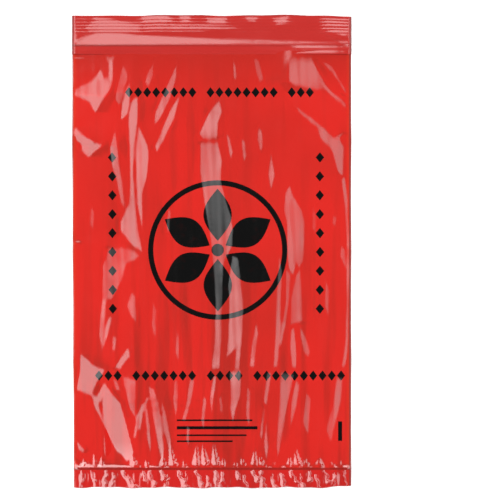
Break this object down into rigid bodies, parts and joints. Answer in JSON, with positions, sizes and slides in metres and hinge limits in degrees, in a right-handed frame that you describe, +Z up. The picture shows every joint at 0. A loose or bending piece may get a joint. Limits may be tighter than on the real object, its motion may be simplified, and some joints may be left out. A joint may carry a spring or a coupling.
{
  "type": "biohazard waste bag",
  "caption": "Flat rectangular bag of thin glossy red film with a press-to-close zip along its mouth and a welded bottom, for throwing away contaminated dressings.",
  "frame": {"origin": "on the floor, under the middle of the bag's footprint", "axes": "+X across the bag, +Y along its length towards the zip at its mouth, +Z up, out of the printed front panel"},
  "size_m": [0.1524, 0.258, 0.0032],
  "materials": {
    "film_red": "thin glossy polyethylene film, translucent red",
    "zip_red": "satin extruded polyethylene tape, a little duller than the film",
    "print_black": "black printing ink on the film, as glossy as the film"
  },
  "bodies": {
    "root": {"front_panel": "film_red", "back_panel": "film_red", "zip_groove_strip": "zip_red", "zip_rib_strip": "zip_red"}
  },
  "joints": []
}
